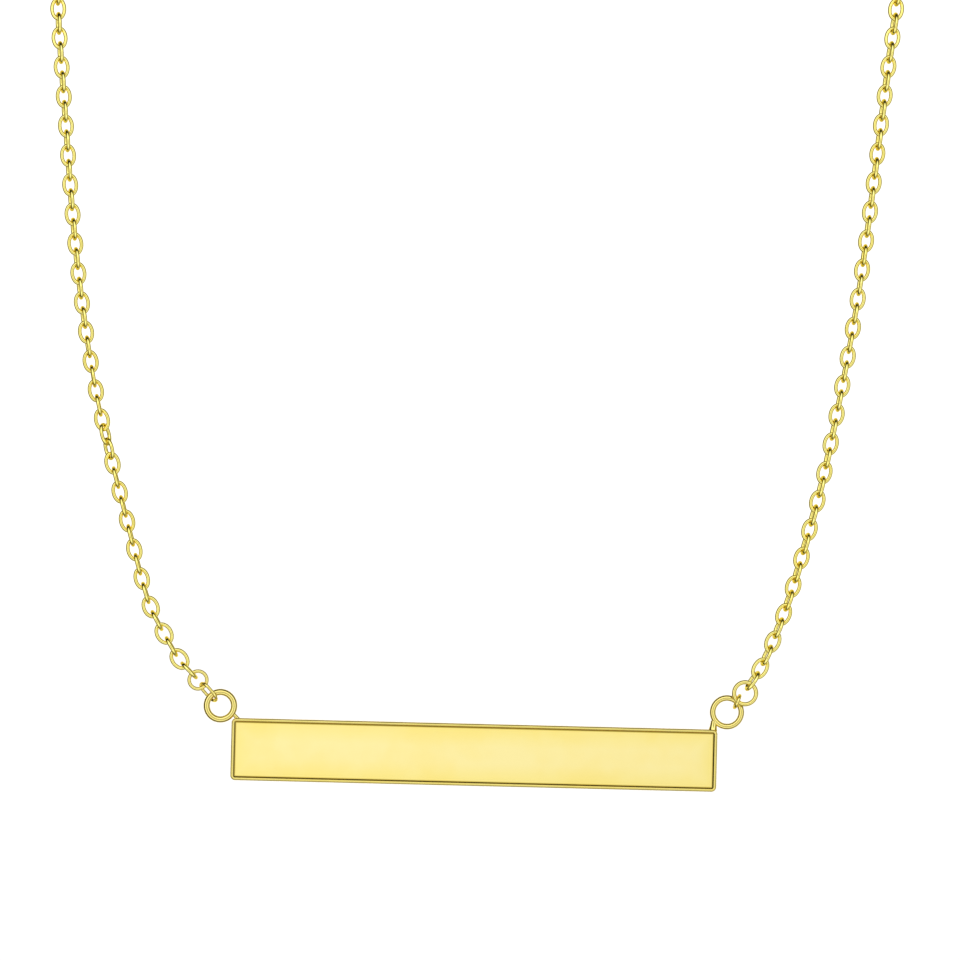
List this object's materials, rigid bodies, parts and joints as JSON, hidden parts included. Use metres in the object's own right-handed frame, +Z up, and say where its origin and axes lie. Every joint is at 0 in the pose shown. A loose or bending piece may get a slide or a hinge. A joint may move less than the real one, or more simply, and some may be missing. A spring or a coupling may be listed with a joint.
{
  "type": "bar pendant necklace",
  "caption": "Level polished bar with a raised rim, hung by two soldered eyelets from a fine cable chain that closes with a ring clasp.",
  "frame": {"origin": "the nape: the neck side of the clasp's middle", "axes": "+Z up, +Y from the bar back towards the nape, +X towards the wearer's left; the bar lies along X"},
  "size_m": [0.0992, 0.1026, 0.1247],
  "materials": {
    "bar_gold": "mirror polished",
    "link_gold": "polished",
    "ring_gold": "polished",
    "chain_gold": "polished",
    "clasp_gold": "polished"
  },
  "bodies": {
    "chain": {"chain_left": "chain_gold", "chain_right": "chain_gold", "chain_left_back": "chain_gold", "chain_right_back": "chain_gold", "left_link": "link_gold", "right_link": "link_gold", "left_ring": "ring_gold", "right_ring": "ring_gold", "clasp": "clasp_gold", "end_ring": "ring_gold"},
    "bar": {"bar": "bar_gold"}
  },
  "joints": [
    {"name": "bar_swing", "type": "hinge", "parent": "chain", "child": "bar", "pos_m": [-0.01847, -0.1, -0.11629], "axis": [0.9999, 0, 0.0121], "range_deg": [-30, 30]}
  ]
}
